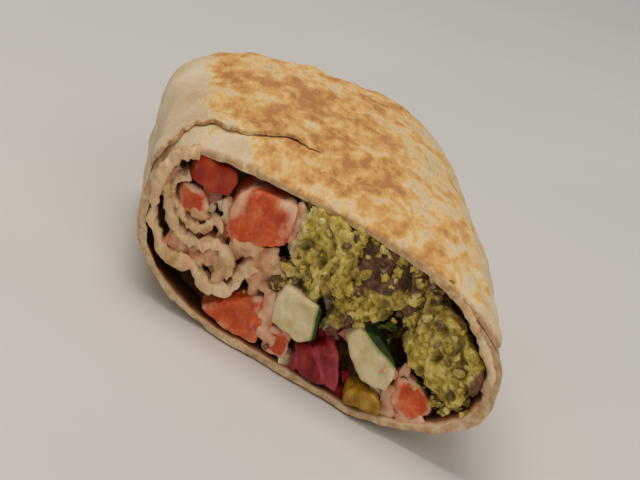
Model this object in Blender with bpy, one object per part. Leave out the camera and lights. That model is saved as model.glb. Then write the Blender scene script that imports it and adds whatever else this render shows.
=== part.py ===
"""Half of a griddled falafel wrap: a folded flatbread round a mixed filling, cut slantwise.

The wrap lies along Y with its folded end at +Y and its cut at -Y, on the flat of its base at Z = 0.
The cut is a vertical plane. Seen square on, its left corner is the blunt one, at -X, and its right
corner is the sharp one, at +X. What shows in the cut is laid out on that plane in millimetres:
across from the blunt corner, up from the base, and in behind the plane. Laps and pieces run in
side by side along the wrap's own length.
"""
import math

import bmesh
import bpy
from mathutils import Vector

MM = 0.001

# Driving dimensions, in metres
WIDTH = 0.080
HEIGHT = 0.044
LONG_SIDE = 0.160
CUT_ANGLE = math.radians(50.0)  # between the cut and the wrap's long side, seen from above
BREAD = 0.0020
FLAP_STEP = 0.0014  # how far the outermost lap stands above the lap below it
GAP = 0.0003  # clearance between pieces that touch
POCKET_GAP = 0.0005  # clearance round each piece in the mixed filling

# The folded end
END_PLAN_RADIUS = 0.034
END_TOP_RADIUS = 0.019
END_BASE_RADIUS = 0.036
END_SEAM_HEIGHT = 0.015
END_BREAD = 0.007  # folded-in laps, one on another

# Cross-section
SHOULDER_LEVEL = 0.47  # widest level, as a share of the height
BASE_PRESS = 1.06  # how far the round base would reach below the griddle that flattens it
ROUNDNESS = {"top_right": 2.4, "top_left": 4.0, "base_left": 2.4, "base_right": 2.1}

# Mesh resolution
AROUND = 60
OUTER_PLACES = (12, 3)  # rings on the rounded end, and from there to the cut
INNER_PLACES = (7, 1)
ROUNDED_LENGTH = 0.062  # the wrap keeps one cross-section from here to the cut
SMALL_TURN = math.radians(0.4)  # between the top and the foot of the lap's edge

FLAP_ANGLE = math.radians(24.0)  # where the lap ends on the long side, above the widest level
FLAP_FADE = math.radians(150.0)
FLAP_CURL = math.radians(62.0)  # how much further up the lap ends at the folded end
FLAP_CURL_LENGTH = 0.060
EDGE_LAP = 0.0018  # extra bread inside the wall where the laps lie double
EDGE_LAP_ANGLE = math.radians(32.0)
EDGE_LAP_SPREAD = math.radians(21.0)

CORE_RECESS = 0.0065  # how far the mixed filling lies behind the cut
CORE_UNEVEN = 0.0014
CAVITY_REACH = 0.004  # how far the shapes that trim the pieces stand out of the cut

CUT_COTANGENT = 1.0 / math.tan(CUT_ANGLE)
SHORT_SIDE = LONG_SIDE - WIDTH * CUT_COTANGENT
FOLDED_END_Y = LONG_SIDE / 2

COLOURS = {
    "flatbread": (0.78, 0.66, 0.48),
    "filling": (0.62, 0.52, 0.36),
    "tomato": (0.72, 0.20, 0.10),
    "cucumber": (0.66, 0.70, 0.42),
    "onion": (0.42, 0.06, 0.12),
    "pepper": (0.45, 0.42, 0.05),
    "falafel": (0.34, 0.34, 0.09),
}
ROUGHNESS = {"flatbread": 0.8, "filling": 0.5, "falafel": 0.85}
WET_ROUGHNESS = 0.3

# One line for each piece that shows in the cut: its outline (across, up), then how far it stands
# proud of the cut, how deep it goes, and the rounding of its edges, all in millimetres.
CUT_PIECES = {
    "tomato_top_left": ("tomato", [(11.0, 30.2), (19.0, 29.2), (24.2, 30.8), (25.4, 34.6), (24.6, 37.2),
                                   (12.4, 36.8)], -1.2, 11.0, 1.1),
    "tomato_small_left": ("tomato", [(9.6, 25.4), (12.6, 22.4), (18.2, 23.6), (20.0, 26.4), (17.8, 28.4),
                                     (10.0, 29.4)], -1.6, 9.0, 0.9),
    "tomato_center": ("tomato", [(27.9, 21.7), (42.8, 27.2), (43.2, 37.6), (30.0, 36.2), (26.4, 33.6),
                                 (25.2, 29.0), (25.8, 24.0)], 1.0, 14.0, 1.1),
    "tomato_low_left": ("tomato", [(24.6, 3.9), (33.0, 2.6), (42.4, 2.6), (43.3, 10.4), (42.6, 14.4),
                                   (37.6, 13.0), (30.5, 8.4)], -0.4, 13.0, 0.9),
    "tomato_low_mid": ("tomato", [(44.4, 2.6), (51.2, 2.6), (52.0, 5.8), (51.2, 8.0), (45.2, 9.3)],
                       -1.0, 9.0, 0.8),
    "tomato_right": ("tomato", [(80.0, 6.2), (86.2, 5.2), (90.9, 8.2), (91.2, 10.8), (88.0, 12.9),
                                (84.4, 14.6), (80.6, 13.6)], -0.6, 8.0, 0.9),
    "cucumber_left": ("cucumber", [(44.8, 10.6), (52.9, 9.4), (57.4, 11.8), (56.4, 19.6), (46.0, 20.0),
                                   (43.9, 16.4)], 1.4, 12.0, 0.8),
    "cucumber_right": ("cucumber", [(67.6, 11.9), (72.0, 8.4), (78.6, 8.9), (79.6, 15.8), (72.6, 20.0),
                                    (66.6, 18.8), (64.9, 15.6)], 0.8, 12.0, 0.8),
    "onion_red": ("onion", [(53.1, 2.6), (66.6, 2.6), (66.8, 5.6), (65.0, 11.6), (62.6, 13.7), (58.8, 11.5),
                            (56.8, 10.0), (53.1, 7.9)], 0.6, 11.0, 0.7),
    "pepper_pickled": ("pepper", [(68.2, 5.8), (68.8, 2.6), (76.8, 2.6), (79.2, 4.6), (77.0, 7.4),
                                  (72.0, 7.2)], 1.6, 10.0, 0.6),
    "falafel_left": ("falafel", [(44.2, 27.6), (46.6, 22.8), (53.5, 21.0), (59.8, 22.2), (61.9, 28.0),
                                 (61.5, 36.4), (56.0, 39.2), (47.6, 39.0), (43.9, 35.0)], 0.5, 22.0, 1.4),
    "falafel_mid": ("falafel", [(62.9, 25.6), (66.0, 21.2), (71.4, 21.4), (76.2, 26.6), (79.4, 29.4),
                                (79.7, 35.4), (74.5, 38.4), (64.6, 39.0), (62.5, 36.0)], -0.8, 20.0, 1.3),
    "falafel_right": ("falafel", [(80.4, 19.2), (83.6, 16.4), (89.8, 13.9), (95.0, 11.9), (97.8, 15.0),
                                  (100.8, 20.4), (99.4, 23.6), (96.6, 26.8), (92.0, 29.4), (87.6, 31.4),
                                  (81.8, 32.4), (80.2, 27.0)], -0.3, 18.0, 1.3),
    "falafel_top_right": ("falafel", [(80.6, 33.4), (85.0, 32.8), (85.8, 35.4), (84.4, 38.2),
                                      (80.6, 38.4)], -1.2, 12.0, 0.9),
}
BACK_TAPER = 0.90  # size of a piece's hidden back end, as a share of its face

# The inner laps of the bread: the middle lines, on the cut in millimetres, of the long one that
# ends crumpled and of the short one that branches off it
INNER_LAPS = {
    "long_lap": [(9.0, 36.2), (8.6, 33.6), (7.2, 30.6), (5.9, 26.6), (5.3, 22.4), (6.8, 17.8), (10.4, 14.2),
                 (15.4, 12.8), (20.0, 13.2), (23.2, 11.4), (26.4, 9.9), (30.6, 10.4), (33.4, 13.2),
                 (33.6, 17.2), (35.0, 19.9), (37.6, 20.5), (39.6, 18.8), (39.4, 16.2)],
    "short_lap": [(6.3, 28.4), (8.2, 23.8), (11.4, 19.8), (15.8, 17.7), (20.2, 18.6), (23.4, 19.6),
                  (26.8, 18.8), (28.8, 16.4)],
}
INNER_LAP_DEPTH = 0.026
INNER_LAP_STEPS = 3  # points on the smooth curve for each stretch between two points of the line


def clear_scene():
    for item in list(bpy.data.objects):
        bpy.data.objects.remove(item, do_unlink=True)


def material(finish):
    """A plain Principled material for one kind of food."""
    made = bpy.data.materials.get(finish) or bpy.data.materials.new(finish)
    made.use_nodes = True
    shader = made.node_tree.nodes["Principled BSDF"]
    shader.inputs["Base Color"].default_value = (*COLOURS[finish], 1.0)
    shader.inputs["Roughness"].default_value = ROUGHNESS.get(finish, WET_ROUGHNESS)
    return made


def link(name, mesh, finish=None, parent=None, guide=False):
    """Links a mesh as a named object. A guide shapes others and isn't part of the wrap."""
    made = bpy.data.objects.new(name, mesh)
    bpy.context.scene.collection.objects.link(made)
    made.parent = parent
    if finish:
        mesh.materials.append(material(finish))
    if guide:
        made.hide_render = True
        made.display_type = "WIRE"
    return made


def side_length(x):
    """Length of the wrap from its folded end to the cut, at a place across its width."""
    return LONG_SIDE - (WIDTH / 2 - x) * CUT_COTANGENT


def end_share(distance, radius, power):
    """How much of its full size the wrap has reached at a distance from the folded end."""
    short = max(0.0, 1.0 - distance / radius)
    return (1.0 - short**power) ** (1.0 / power)


def section_point(angle, distance, inset):
    """A point (x, z) of the cross-section, at an angle from +X, inset from the outer skin."""
    if inset:
        off_lap = abs(math.remainder(angle - EDGE_LAP_ANGLE, 2 * math.pi))
        inset += EDGE_LAP * max(0.0, math.cos(math.pi / 2 * min(1.0, off_lap / EDGE_LAP_SPREAD)))
    half_width = WIDTH / 2 * end_share(distance, END_PLAN_RADIUS, 2.2) - inset
    rise = end_share(distance, END_TOP_RADIUS, 2.3)
    drop = end_share(distance, END_BASE_RADIUS, 2.0)
    top = END_SEAM_HEIGHT + (HEIGHT - FLAP_STEP - END_SEAM_HEIGHT) * rise - inset
    base = END_SEAM_HEIGHT * (1.0 - drop) + inset
    middle = base + (top - base) * SHOULDER_LEVEL
    c, s = math.cos(angle), math.sin(angle)
    power = ROUNDNESS[("top" if s >= 0 else "base") + ("_right" if c >= 0 else "_left")]
    x = math.copysign(abs(c) ** (2 / power), c) * half_width
    level = abs(s) ** (2 / power)
    if s >= 0:
        return x, middle + (top - middle) * level
    return x, max(base, middle - BASE_PRESS * (middle - base) * level)


def flap_angle(distance):
    """Where the outermost lap ends, as an angle; it curls up on to the top at the folded end."""
    return FLAP_ANGLE + FLAP_CURL * max(0.0, 1.0 - distance / FLAP_CURL_LENGTH) ** 1.5


def flap_rise(turn):
    """Height of the outermost lap over the smooth skin, at a turn past the line where it ends."""
    return FLAP_STEP * max(0.0, 1.0 - turn / FLAP_FADE)


def skin_ring(place, inset=0.0, end_thickness=0.0, reach=0.0, flap=False):
    """One ring round the wrap. Its place runs from 0 at the folded end to 1 where the rounded end
    stops, all square across the wrap, and on to 2 at the slanted cut, plus a reach."""
    start = flap_angle(place * ROUNDED_LENGTH) if flap else FLAP_ANGLE
    corners = [(start + 2 * math.pi * i / AROUND, 2 * math.pi * i / AROUND) for i in range(AROUND)]
    if flap:
        corners.append((start - SMALL_TURN, FLAP_FADE))
    ring = []
    for angle, turn in corners:
        distance = min(place, 1.0) * ROUNDED_LENGTH
        x, z = section_point(angle, distance, inset)
        if flap:
            rise = flap_rise(turn) * end_share(distance, END_PLAN_RADIUS, 2.0)
            x, z = x + math.cos(angle) * rise, z + math.sin(angle) * rise
        length = side_length(x) + reach - end_thickness
        distance += max(0.0, place - 1.0) * (length - ROUNDED_LENGTH)
        ring.append(Vector((x, FOLDED_END_Y - end_thickness - distance, z)))
    return ring


def places(rounded, straight):
    """Ring places: close together on the rounded end, then even ones up to the cut."""
    return [((i + 0.3) / (rounded + 0.3)) ** 1.9 for i in range(rounded)] + [
        1.0 + i / straight for i in range(straight + 1)
    ]


def add_ring(bm, points):
    return [bm.verts.new(p) for p in points]


def bridge(bm, first, second):
    """Faces between two rings of the same count."""
    count = len(first)
    for i in range(count):
        j = (i + 1) % count
        bm.faces.new((first[i], first[j], second[j], second[i]))


def close_ring(bm, ring):
    """Closes a ring with a fan round its middle."""
    middle = bm.verts.new(sum((v.co for v in ring), Vector()) / len(ring))
    for i, vert in enumerate(ring):
        bm.faces.new((vert, ring[(i + 1) % len(ring)], middle))


def finish_mesh(bm, name, sharp_angle=40.0):
    bmesh.ops.recalc_face_normals(bm, faces=bm.faces[:])
    mesh = bpy.data.meshes.new(name)
    bm.to_mesh(mesh)
    bm.free()
    mesh.shade_smooth()
    mesh.set_sharp_from_angle(angle=math.radians(sharp_angle))
    return mesh


def bread_shell():
    """The folded flatbread: an outer skin closed at the folded end, and the cavity for the filling."""
    bm = bmesh.new()
    outer = [add_ring(bm, skin_ring(place, flap=True)) for place in places(*OUTER_PLACES)]
    inner = []
    for place in places(*INNER_PLACES):
        ring = skin_ring(place, inset=BREAD, end_thickness=END_BREAD)
        inner.append(add_ring(bm, ring + [ring[0].lerp(ring[-1], 0.06)]))
    for rings in (outer, inner):
        close_ring(bm, rings[0])
        for first, second in zip(rings, rings[1:]):
            bridge(bm, first, second)
    bridge(bm, outer[-1], inner[-1])
    return finish_mesh(bm, "flatbread_shell")


def cavity(name, inset, recess, uneven=0.0):
    """A closed solid that fills the bread's cavity, up to a distance behind or before the cut."""
    bm = bmesh.new()
    reach = -recess / math.sin(CUT_ANGLE)
    rings = []
    for place in places(*INNER_PLACES):
        ring = skin_ring(place, inset=inset, end_thickness=END_BREAD + GAP, reach=reach)
        rings.append(add_ring(bm, ring))
    close_ring(bm, rings[0])
    for first, second in zip(rings, rings[1:]):
        bridge(bm, first, second)
    rim = rings[-1]
    middle = sum((v.co for v in rim), Vector()) / len(rim)
    for share in (0.7, 0.35):
        ring = []
        for i, vert in enumerate(rim):
            point = middle.lerp(vert.co, share)
            wave = math.sin(5 * 2 * math.pi * i / len(rim) + 4 * share)
            ring.append(bm.verts.new(point + Vector((0.0, uneven * wave, 0.0))))
        bridge(bm, rings[-1], ring)
        rings.append(ring)
    close_ring(bm, rings[-1])
    return finish_mesh(bm, name)


def smooth_line(points, steps):
    """Points on a Catmull-Rom curve through a line of points."""
    line = [Vector(p) for p in points]
    padded = [2 * line[0] - line[1], *line, 2 * line[-1] - line[-2]]
    curve = []
    for a, b, c, d in zip(padded, padded[1:], padded[2:], padded[3:]):
        for k in range(steps):
            t = k / steps
            curve.append(0.5 * (2 * b + (c - a) * t + (2 * a - 5 * b + 4 * c - d) * t**2
                                + (3 * b - a - 3 * c + d) * t**3))
    return [*curve, line[-1]]


def behind_cut(x, z, depth):
    """A place on the cut, moved in along the wrap's length until it lies a depth behind the cut."""
    return x - depth * CUT_COTANGENT, depth, z


def lap_ribbon(lap, thickness, front, back):
    """An inner lap of the bread, as a ribbon that runs in from the cut."""
    line = [p * MM for p in smooth_line(INNER_LAPS[lap], INNER_LAP_STEPS)]
    bm = bmesh.new()
    rows = []
    for i, point in enumerate(line):
        along = (line[min(i + 1, len(line) - 1)] - line[max(i - 1, 0)]).normalized()
        side = Vector((-along.y, along.x)) * thickness / 2
        corners = ((point + side, front), (point + side, back), (point - side, back), (point - side, front))
        rows.append([bm.verts.new(behind_cut(p.x, p.y, depth)) for p, depth in corners])
    for first, second in zip(rows, rows[1:]):
        bridge(bm, first, second)
    bm.faces.new(rows[0])
    bm.faces.new(rows[-1])
    return finish_mesh(bm, lap)


def offset_outline(points, distance):
    """A closed outline moved outwards by a distance, corner by corner."""
    moved = []
    count = len(points)
    for i in range(count):
        before = (points[i] - points[i - 1]).normalized()
        after = (points[(i + 1) % count] - points[i]).normalized()
        out = Vector((before.y + after.y, -before.x - after.x)).normalized()
        lean = out.dot(Vector((before.y, -before.x)))
        moved.append(points[i] + out * distance / lean)
    return moved


def block(name, outline, front, back, grow=0.0):
    """A cut block of food, in the cut's own axes: X across, Y in and Z up."""
    points = offset_outline([Vector(p) * MM for p in outline], grow)
    middle = sum(points, Vector((0.0, 0.0))) / len(points)
    bm = bmesh.new()
    face = [bm.verts.new(behind_cut(p.x - middle.x, p.y - middle.y, front)) for p in points]
    tail = []
    for p in points:
        q = (p - middle) * BACK_TAPER
        tail.append(bm.verts.new(behind_cut(q.x, q.y, back)))
    bm.faces.new(face)
    bm.faces.new(list(reversed(tail)))
    bridge(bm, tail, face)
    return finish_mesh(bm, name), (middle.x, 0.0, middle.y)


def add_bevel(item, width):
    """Rounds every edge of an object."""
    bevel = item.modifiers.new("rounding", "BEVEL")
    bevel.width = width
    bevel.segments = 2
    bevel.limit_method = "NONE"
    bevel.use_clamp_overlap = True


def add_boolean(item, other, operation):
    """Joins, cuts or trims an object with another."""
    boolean = item.modifiers.new(f"{operation.lower()}_{other.name}", "BOOLEAN")
    boolean.operation = operation
    boolean.object = other


def build_wrap():
    clear_scene()
    cut = bpy.data.objects.new("cut_plane", None)
    bpy.context.scene.collection.objects.link(cut)
    cut.location = (-WIDTH / 2, FOLDED_END_Y - SHORT_SIDE, 0.0)
    cut.rotation_euler = (0.0, 0.0, CUT_ANGLE - math.pi / 2)

    tortilla = link("tortilla", bread_shell(), "flatbread")
    room = link("cavity_guide", cavity("cavity_guide", BREAD + GAP, -CAVITY_REACH), guide=True)
    filling = link("mixed_filling", cavity("mixed_filling", BREAD + GAP, CORE_RECESS, CORE_UNEVEN), "filling")

    for lap in INNER_LAPS:
        ribbon = lap_ribbon(lap, BREAD, 0.0, INNER_LAP_DEPTH)
        add_boolean(tortilla, link(lap, ribbon, parent=cut, guide=True), "UNION")
        ribbon = lap_ribbon(lap, BREAD + 2 * POCKET_GAP, -CAVITY_REACH, INNER_LAP_DEPTH + POCKET_GAP)
        add_boolean(filling, link(f"{lap}_room", ribbon, parent=cut, guide=True), "DIFFERENCE")

    for name, (finish, outline, proud, depth, rounding) in CUT_PIECES.items():
        mesh, place = block(name, outline, -proud * MM, depth * MM)
        piece = link(name, mesh, finish, parent=cut)
        piece.location = place
        add_bevel(piece, rounding * MM)
        add_boolean(piece, room, "INTERSECT")
        front, back = -proud * MM - POCKET_GAP, depth * MM + POCKET_GAP
        mesh, place = block(f"{name}_room", outline, front, back, POCKET_GAP)
        pocket = link(f"{name}_room", mesh, parent=cut, guide=True)
        pocket.location = place
        add_boolean(filling, pocket, "DIFFERENCE")


build_wrap()
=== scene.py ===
"""Looks of half a griddled falafel wrap, cut slantwise, made round its solids.

All lengths are metres in the frame's own axes: the wrap lies along Y with its folded end at +Y.
The cut is laid out square on, in millimetres: u across from its blunt corner at -X, v up from the
base, and a depth behind it. Bread, laps and filling all run in along the wrap's own length.
"""
import itertools
import math
import random

import bmesh
import bpy
import numpy as np
from mathutils import Matrix, Vector


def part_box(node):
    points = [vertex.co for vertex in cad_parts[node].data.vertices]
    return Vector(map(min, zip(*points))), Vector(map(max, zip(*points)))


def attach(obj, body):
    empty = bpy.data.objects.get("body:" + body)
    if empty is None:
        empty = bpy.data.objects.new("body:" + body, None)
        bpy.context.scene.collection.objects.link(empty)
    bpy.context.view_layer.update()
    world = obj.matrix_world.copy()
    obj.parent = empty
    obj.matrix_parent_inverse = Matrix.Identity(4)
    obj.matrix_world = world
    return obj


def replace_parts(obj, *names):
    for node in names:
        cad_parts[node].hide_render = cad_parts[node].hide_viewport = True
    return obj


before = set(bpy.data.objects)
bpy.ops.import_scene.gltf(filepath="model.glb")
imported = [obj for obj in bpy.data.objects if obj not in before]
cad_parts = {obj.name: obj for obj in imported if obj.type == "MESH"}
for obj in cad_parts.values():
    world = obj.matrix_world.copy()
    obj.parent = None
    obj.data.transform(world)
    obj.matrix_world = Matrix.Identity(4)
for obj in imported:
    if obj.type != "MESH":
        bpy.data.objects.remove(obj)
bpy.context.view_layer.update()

MM = 0.001
TAU = 2 * math.pi

# The wrap's own sizes, as in the solids
WIDTH = 0.080
HEIGHT = 0.044
LONG_SIDE = 0.160
CUT_ANGLE = math.radians(50.0)
CUT_COTANGENT = 1.0 / math.tan(CUT_ANGLE)
SHORT_SIDE = LONG_SIDE - WIDTH * CUT_COTANGENT
FOLDED_END_Y = LONG_SIDE / 2
BREAD = 0.0020
FLAP_STEP = 0.0014
END_PLAN_RADIUS = 0.034
END_TOP_RADIUS = 0.019
END_BASE_RADIUS = 0.036
END_SEAM_HEIGHT = 0.015
END_PLAN_POWER = 2.2
END_TOP_POWER = 2.3
END_BASE_POWER = 2.0
SHOULDER_LEVEL = 0.47
# How square each quarter of the section is: a power of 2 is round
SHARP_SIDE_TOP, SHARP_SIDE_BASE = 2.4, 2.1
BLUNT_SIDE_TOP, BLUNT_SIDE_BASE = 4.0, 2.4
BASE_PRESS = 1.06
ROUNDED_LENGTH = 0.062
FLAP_ANGLE = math.radians(24.0)
FLAP_FADE = math.radians(150.0)
FLAP_CURL = math.radians(62.0)
FLAP_CURL_LENGTH = 0.060

# The cut's own axes
BLUNT_CORNER = np.array((-WIDTH / 2, FOLDED_END_Y - SHORT_SIDE, 0.0))
ACROSS = np.array((math.sin(CUT_ANGLE), -math.cos(CUT_ANGLE), 0.0))
INWARD = np.array((math.cos(CUT_ANGLE), math.sin(CUT_ANGLE), 0.0))
UPWARD = np.array((0.0, 0.0, 1.0))
ALONG = np.array((0.0, 1.0 / math.sin(CUT_ANGLE), 0.0))


def on_cut(u, v, depth=0.0):
    """Places on the cut in millimetres, moved in along the wrap's length to a depth behind it."""
    u, v, depth = np.broadcast_arrays(u, v, depth)
    return (BLUNT_CORNER + u[..., None] * MM * ACROSS + v[..., None] * MM * UPWARD
            + depth[..., None] * MM * ALONG)


def cut_coordinates(places):
    """Where points lie against the cut: across, up and the depth behind it, in millimetres."""
    across = (places[..., 0] + WIDTH / 2) / math.sin(CUT_ANGLE)
    return across / MM, places[..., 2] / MM, (places - BLUNT_CORNER) @ INWARD / MM


def smooth(low, high, value):
    """An eased step from 0 at low to 1 at high."""
    t = np.clip((np.asarray(value, float) - low) / (high - low), 0.0, 1.0)
    return t * t * (3 - 2 * t)


def scatter(cells, seed):
    """Three repeatable numbers from -1 to 1 for each cell of a lattice."""
    mixed = cells[..., 0] * 73856093 ^ cells[..., 1] * 19349663 ^ cells[..., 2] * 83492791
    numbers = []
    for k in (1, 2, 3):
        h = (mixed + seed * 7919 + k * 40503) & 0xFFFFFFFF
        h = ((h ^ (h >> 16)) * 0x45D9F3B) & 0xFFFFFFFF
        h = ((h ^ (h >> 16)) * 0x45D9F3B) & 0xFFFFFFFF
        numbers.append((h ^ (h >> 16)) / 0x7FFFFFFF - 1.0)
    return np.stack(numbers, -1)


def grain(places, size, seed=0, stretch=(1.0, 1.0, 1.0)):
    """Soft noise from about -1 to 1 with lumps of a size in metres, longer where stretched."""
    q = np.asarray(places, float) / (size * np.array(stretch)) + 0.37 * seed
    cell = np.floor(q).astype(np.int64)
    f = q - cell
    ease = f * f * f * (f * (f * 6 - 15) + 10)
    total = np.zeros(q.shape[:-1])
    for corner in itertools.product((0, 1), repeat=3):
        share = np.prod(np.where(np.array(corner) == 1, ease, 1 - ease), axis=-1)
        pull = scatter(cell + np.array(corner), seed) * (f - np.array(corner))
        total += share * np.sum(pull, axis=-1)
    return 1.5 * total


def crumbs(places, size, seed=0):
    """Crumbs of about a size in metres: how far inside its crumb each place lies, 0 in the
    cracks, and a number from -1 to 1 for the crumb it is in."""
    q = np.asarray(places, float) / size
    cell = np.floor(q).astype(np.int64)
    first = np.full(q.shape[:-1], 9.0)
    second, own = first.copy(), np.zeros_like(first)
    for step in itertools.product((-1, 0, 1), repeat=3):
        corner = cell + np.array(step)
        chance = scatter(corner, seed)
        gap = np.linalg.norm(q - corner - 0.5 - 0.5 * chance, axis=-1)
        closer = gap < first
        second = np.where(closer, first, np.minimum(second, gap))
        own = np.where(closer, np.sin(9.0 * chance[..., 0] + 5.0 * chance[..., 1]), own)
        first = np.where(closer, gap, first)
    return np.clip((second - first) * 1.6, 0.0, 1.0), own


# ---------------------------------------------------------------- materials


def colour(hex_value):
    """An sRGB hex colour as the linear values that shaders take."""
    channels = [int(hex_value[i:i + 2], 16) / 255 for i in (0, 2, 4)]
    linear = [c / 12.92 if c <= 0.04045 else ((c + 0.055) / 1.055) ** 2.4 for c in channels]
    return (*linear, 1.0)


def per(size_mm):
    """The pattern scale that gives features of a size in millimetres."""
    return 1.0 / (size_mm * MM)


def add(tree, kind, inputs, output=0, stops=(), **settings):
    """Adds one node with its settings, ramp stops and the values or links of its inputs, and
    gives back one of its outputs. Colours may be written in hex."""
    made = tree.nodes.new("ShaderNode" + kind)
    for name, value in settings.items():
        setattr(made, name, value)
    for place, value in inputs.items():
        if isinstance(value, bpy.types.NodeSocket):
            tree.links.new(value, made.inputs[place])
        else:
            made.inputs[place].default_value = colour(value) if isinstance(value, str) else value
    for i, (where, tone) in enumerate(stops):
        elements = made.color_ramp.elements
        stop = elements[i] if i < len(elements) else elements.new(where)
        stop.position = where
        stop.color = colour(tone) if isinstance(tone, str) else (tone, tone, tone, 1.0)
    return made.outputs[output]


def start_finish(name, carried, roughness, ior, through=0.0, radius=(2.0, 1.0, 1.0)):
    """A new material, its tree, the place on the wrap and each value that its points carry. Where
    it lets light through, the light goes a radius in millimetres into it."""
    made = bpy.data.materials.new(name)
    made.use_nodes = True
    tree = made.node_tree
    shader = tree.nodes["Principled BSDF"]
    shader.inputs["Roughness"].default_value = roughness
    shader.inputs["IOR"].default_value = ior
    shader.inputs["Subsurface Weight"].default_value = through
    shader.inputs["Subsurface Radius"].default_value = [r * MM for r in radius]
    shader.inputs["Subsurface Scale"].default_value = 1.0
    where = add(tree, "TexCoord", {}, "Object")
    return [made, tree, where] + [add(tree, "Attribute", {}, "Fac", attribute_name=c) for c in carried]


def end_finish(made, tint, height=None, deep=0.0, strength=0.8):
    """Gives a material its tint, and a relief a few tenths of a millimetre deep from a height."""
    tree = made.node_tree
    shader = tree.nodes["Principled BSDF"]
    tree.links.new(tint, shader.inputs["Base Color"])
    if height:
        bump = add(tree, "Bump", {"Height": height, "Distance": deep * MM, "Strength": strength})
        tree.links.new(bump, shader.inputs["Normal"])
    return made


def under_sauce(tree, food, runs, smear, stops, cream):
    """The tint of food under creamy sauce: runs break up where it is smeared, and stops say how
    thickly it covers."""
    level = add(tree, "Math", {0: runs, 1: 0.8, 2: smear}, operation="MULTIPLY_ADD")
    cover = add(tree, "ValToRGB", {"Fac": level}, stops=stops)
    return add(tree, "Mix", {0: cover, 6: food, 7: cream}, 2, data_type="RGBA")


def griddled_flatbread():
    """Soft wheat flatbread pressed on a griddle: pale, matt and floury, with golden to brown
    islands, drawn out along the wrap, where it blistered against the hot plate."""
    made, tree, where, griddled, torn, inside, soaked = start_finish(
        "griddled_wheat_flatbread", ("griddled", "torn", "inside", "soaked"),
        0.75, 1.4, 0.12, (2.4, 1.4, 0.8))
    drawn = add(tree, "Mapping", {"Vector": where, "Scale": (1.0, 0.55, 1.0)})
    long = add(tree, "Mapping", {"Vector": where, "Scale": (1.0, 0.30, 1.0)})
    clouds = add(tree, "TexNoise", {"Vector": drawn, "Scale": per(13.0), "Detail": 3.0, "Roughness": 0.55})
    islands = add(tree, "TexNoise", {
        "Vector": drawn, "Scale": per(5.5), "Detail": 6.0, "Roughness": 0.64, "Distortion": 0.3})
    streaks = add(tree, "TexNoise", {
        "Vector": long, "Scale": per(1.9), "Detail": 4.0, "Roughness": 0.62, "Distortion": 0.2})
    flour = add(tree, "TexNoise", {"Vector": where, "Scale": per(0.9), "Detail": 3.0, "Roughness": 0.7})
    # Dough: cream, with paler floury specks
    dough = add(tree, "ValToRGB", {"Fac": clouds}, stops=[
        (0.32, "CDB189"), (0.52, "D9C29C"), (0.72, "E5D5B8")])
    powder = add(tree, "ValToRGB", {"Fac": flour}, stops=[(0.50, 0.0), (0.75, 0.40)])
    dough = add(tree, "Mix", {0: powder, 6: dough, 7: "F6EEDF"}, 2, data_type="RGBA")
    # Toasting: a level that rises with the griddling and follows the blisters
    level = add(tree, "Math", {0: clouds, 1: 0.90, 2: griddled}, operation="MULTIPLY_ADD")
    level = add(tree, "Math", {0: islands, 1: 2.10, 2: level}, operation="MULTIPLY_ADD")
    level = add(tree, "Math", {0: streaks, 1: 1.00, 2: level}, operation="MULTIPLY_ADD")
    level = add(tree, "Math", {0: level, 1: 2.30}, operation="SUBTRACT")
    toast = add(tree, "ValToRGB", {"Fac": level}, stops=[
        (0.34, "EBD4A4"), (0.48, "E5C082"), (0.64, "DEAE66"), (0.80, "D39B55"), (0.98, "BA7F44")])
    share = add(tree, "ValToRGB", {"Fac": level}, stops=[(0.24, 0.0), (0.46, 1.0)])
    skin = add(tree, "Mix", {0: share, 6: dough, 7: toast}, 2, data_type="RGBA")
    # Torn and cut edges brown a little, and the crumb behind them stays pale
    ragged = add(tree, "ValToRGB", {"Fac": streaks}, stops=[(0.40, 0.15), (0.58, 1.0)])
    ragged = add(tree, "Math", {0: ragged, 1: torn}, operation="MULTIPLY")
    skin = add(tree, "Mix", {0: ragged, 6: skin, 7: "A8733A"}, 2, data_type="RGBA")
    crumb = add(tree, "ValToRGB", {"Fac": islands}, stops=[
        (0.34, "BE8E58"), (0.44, "DAB888"), (0.56, "E6CCA2"), (0.75, "EFDDBC")])
    skin = add(tree, "Mix", {0: inside, 6: skin, 7: crumb}, 2, data_type="RGBA")
    # Where sauce and juice soak in: rosy cream to brown; the darkest brown, reached deep behind the cut, is
    # painted shade
    wet = add(tree, "Math", {0: islands, 1: 1.2, 2: soaked}, operation="MULTIPLY_ADD")
    wet = add(tree, "ValToRGB", {"Fac": wet}, stops=[(0.74, 0.0), (1.06, 1.0)])
    # The last, dark brown stop is painted shade; the paler stops are sauce and juice
    juice = add(tree, "ValToRGB", {"Fac": soaked}, stops=[
        (0.40, "DDAE84"), (0.60, "B97C4E"), (0.95, "54290F")])
    skin = add(tree, "Mix", {0: wet, 6: skin, 7: juice}, 2, data_type="RGBA")
    rise = add(tree, "Math", {0: streaks, 1: 0.6, 2: flour}, operation="MULTIPLY_ADD")
    return end_finish(made, skin, rise, 0.22, 0.7)


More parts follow.
